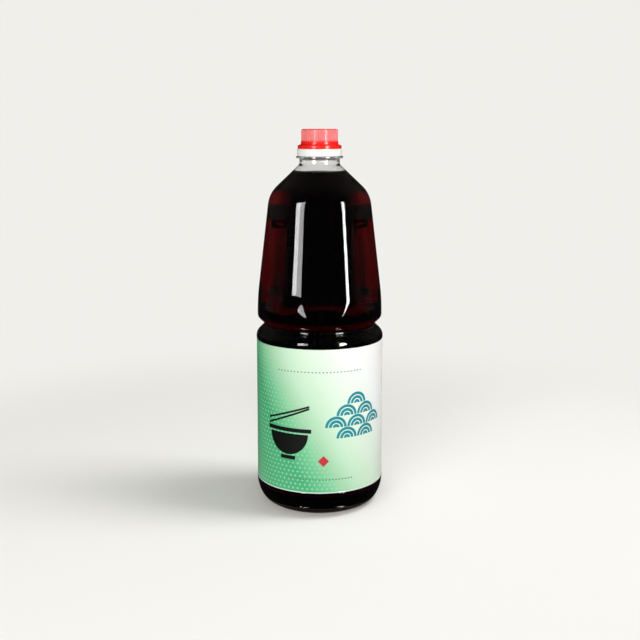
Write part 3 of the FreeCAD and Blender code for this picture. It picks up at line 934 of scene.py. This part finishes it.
# painted sheen: between the band's top and the crown, the red is mixed towards pale pink
values = runSteps(tree, [
    ("above", "SMOOTHSTEP", "z", bandTop * mm, (bandTop + capLook["paintedSheenFoot"]) * mm),
    ("below", "SMOOTHSTEP", "z", capTop * mm, (capTop - capLook["paintedSheenTop"]) * mm),
    ("paintedSheenBand", "MULTIPLY", "above", "below"),
    ("paintedSheenAmount", "MULTIPLY", "paintedSheenBand", capLook["paintedSheenShare"]),
], {"z": xyz.outputs["Z"]})
paintedSheenBand = addNode(tree, "ShaderNodeMix", {0: values["paintedSheenAmount"], 6: linear(capLook["colour"]),
               7: linear(capLook["paintedSheen"])}, data_type="RGBA")
shade = addNode(tree, "ShaderNodeHueSaturation", {"Value": tone.outputs[0], "Color": paintedSheenBand.outputs[2]})
plastic = addNode(tree, "ShaderNodeBsdfPrincipled", {"Base Color": shade.outputs[0],
                  "Roughness": capLook["roughness"], "IOR": capLook["ior"], "Normal": bump.outputs[0],
                  "Subsurface Weight": 0.15, "Subsurface Scale": 0.001,
                  "Subsurface Radius": (1.0, 0.25, 0.2)})
addNode(tree, "ShaderNodeOutputMaterial", {"Surface": plastic.outputs[0]})

outline = outlinePoints([
    (0, capTop - cap["wall"], 0),
    (hollow, capTop - cap["wall"], 0),
    (hollow, cap["bottom"], 0),
    (cap["flangeRadius"], cap["bottom"], cap["flangeRounding"]),
    (cap["flangeRadius"], flangeTop, cap["flangeRounding"]),
    (cap["bandRadius"], bandBottom, cap["bandRounding"]),
    (cap["bandRadius"], bandTop, cap["bandRounding"] / 2),
    (rootRadius, bandTop, 0),
    (rootRadius, capTop, cap["crownRounding"]),
    (0, capTop, 0),
], 1.5, 12)
verts, faces = latheMesh(outline, cap["around"])
capBody = newPiece("screwCap", verts, faces)

ridges = bpy.data.node_groups.new("capRidges", "GeometryNodeTree")
ridges.interface.new_socket(name="Geometry", in_out="INPUT", socket_type="NodeSocketGeometry")
ridges.interface.new_socket(name="Geometry", in_out="OUTPUT", socket_type="NodeSocketGeometry")
ridgeInputs = {
    "Ridge count": ("NodeSocketInt", cap["ridgeCount"]),
    "Ridge radius": ("NodeSocketFloat", cap["ridgeRadius"] * mm),
    "Ring radius": ("NodeSocketFloat", (cap["knobRadius"] - cap["ridgeRadius"]) * mm),
    "Ridge foot": ("NodeSocketFloat", (bandTop - cap["ridgeSink"]) * mm),
    "Ridge length": ("NodeSocketFloat", (cap["knobHeight"] - cap["ridgeStopsShort"]) * mm),
    "Ridge tip": ("NodeSocketFloat", cap["ridgeTip"] * mm),
    "Material": ("NodeSocketMaterial", redPlastic),
}
sockets = {name: ridges.interface.new_socket(name=name, in_out="INPUT", socket_type=kind)
           for name, (kind, _) in ridgeInputs.items()}
start = addNode(ridges, "NodeGroupInput")
values = runSteps(ridges, [
    ("halfLength", "MULTIPLY", "length", 0.5),
    ("middle", "ADD", "foot", "halfLength"),
    ("tipFoot", "ADD", "foot", "length"),
    ("tipRadius", "MULTIPLY", "radius", cap["ridgeTipShare"]),
], {"length": start.outputs["Ridge length"], "foot": start.outputs["Ridge foot"],
    "radius": start.outputs["Ridge radius"]})
spots = addNode(ridges, "GeometryNodeMeshCircle",
                {"Vertices": start.outputs["Ridge count"], "Radius": start.outputs["Ring radius"]})
bar = addNode(ridges, "GeometryNodeMeshCylinder", {"Vertices": cap["ridgeSides"],
              "Radius": start.outputs["Ridge radius"], "Depth": start.outputs["Ridge length"]})
barPlace = addNode(ridges, "ShaderNodeCombineXYZ", {2: values["middle"]})
barUp = addNode(ridges, "GeometryNodeTransform",
                {"Geometry": bar.outputs["Mesh"], "Translation": barPlace.outputs[0]})
tip = addNode(ridges, "GeometryNodeMeshCone", {"Vertices": cap["ridgeSides"],
              "Radius Bottom": start.outputs["Ridge radius"], "Radius Top": values["tipRadius"],
              "Depth": start.outputs["Ridge tip"]})
tipPlace = addNode(ridges, "ShaderNodeCombineXYZ", {2: values["tipFoot"]})
tipUp = addNode(ridges, "GeometryNodeTransform",
                {"Geometry": tip.outputs["Mesh"], "Translation": tipPlace.outputs[0]})
ridge = addNode(ridges, "GeometryNodeJoinGeometry")
ridges.links.new(tipUp.outputs[0], ridge.inputs[0])
ridges.links.new(barUp.outputs[0], ridge.inputs[0])
smooth = addNode(ridges, "GeometryNodeSetShadeSmooth", {0: ridge.outputs[0]})
many = addNode(ridges, "GeometryNodeInstanceOnPoints",
               {"Points": spots.outputs[0], "Instance": smooth.outputs[0]})
whole = addNode(ridges, "GeometryNodeJoinGeometry")
ridges.links.new(many.outputs[0], whole.inputs[0])
ridges.links.new(start.outputs["Geometry"], whole.inputs[0])
real = addNode(ridges, "GeometryNodeRealizeInstances", {0: whole.outputs[0]})
painted = addNode(ridges, "GeometryNodeSetMaterial",
                  {0: real.outputs[0], "Material": start.outputs["Material"]})
addNode(ridges, "NodeGroupOutput", {0: painted.outputs[0]})

modifier = capBody.modifiers.new("capRidges", "NODES")
modifier.node_group = ridges
for name, (_, value) in ridgeInputs.items():
    modifier[sockets[name].identifier] = value
applyNodes(capBody)
capBody.data.set_sharp_from_angle(angle=math.radians(38))
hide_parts("cap")
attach(capBody, "root")
print("cap made,", len(capBody.data.polygons), "faces")


# Moulded polyethylene, natural white: softer and more matt than the cap, light glows a little in it
collarLook = {
    "colour": "#f4f7f6", "roughness": 0.36, "ior": 1.52, "tones": (0.985, 1.0),
    "grainSize": 1 / 1800, "grainDepth": 0.00004, "grainStrength": 0.12,
}

whitePlastic, tree = newMaterial("mouldedPolyethyleneWhite")
place = addNode(tree, "ShaderNodeTexCoord")
grain = addGrain(tree, place, collarLook)
bump = addGrainBump(tree, grain, collarLook)
tone = addNode(tree, "ShaderNodeMapRange",
               {0: grain.outputs["Fac"], 3: collarLook["tones"][0], 4: collarLook["tones"][1]})
shade = addNode(tree, "ShaderNodeHueSaturation",
                {"Value": tone.outputs[0], "Color": linear(collarLook["colour"])})
plastic = addNode(tree, "ShaderNodeBsdfPrincipled", {"Base Color": shade.outputs[0],
                  "Roughness": collarLook["roughness"], "IOR": collarLook["ior"], "Subsurface Weight": 0.2,
                  "Subsurface Scale": 0.0015, "Normal": bump.outputs[0]})
addNode(tree, "ShaderNodeOutputMaterial", {"Surface": plastic.outputs[0]})
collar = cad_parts["pouring_collar"]
for slot in collar.material_slots:
    slot.material = whitePlastic
print("collar finished")


# Nothing is scaled, so the whole stays the size of the imported part

print("scene built")
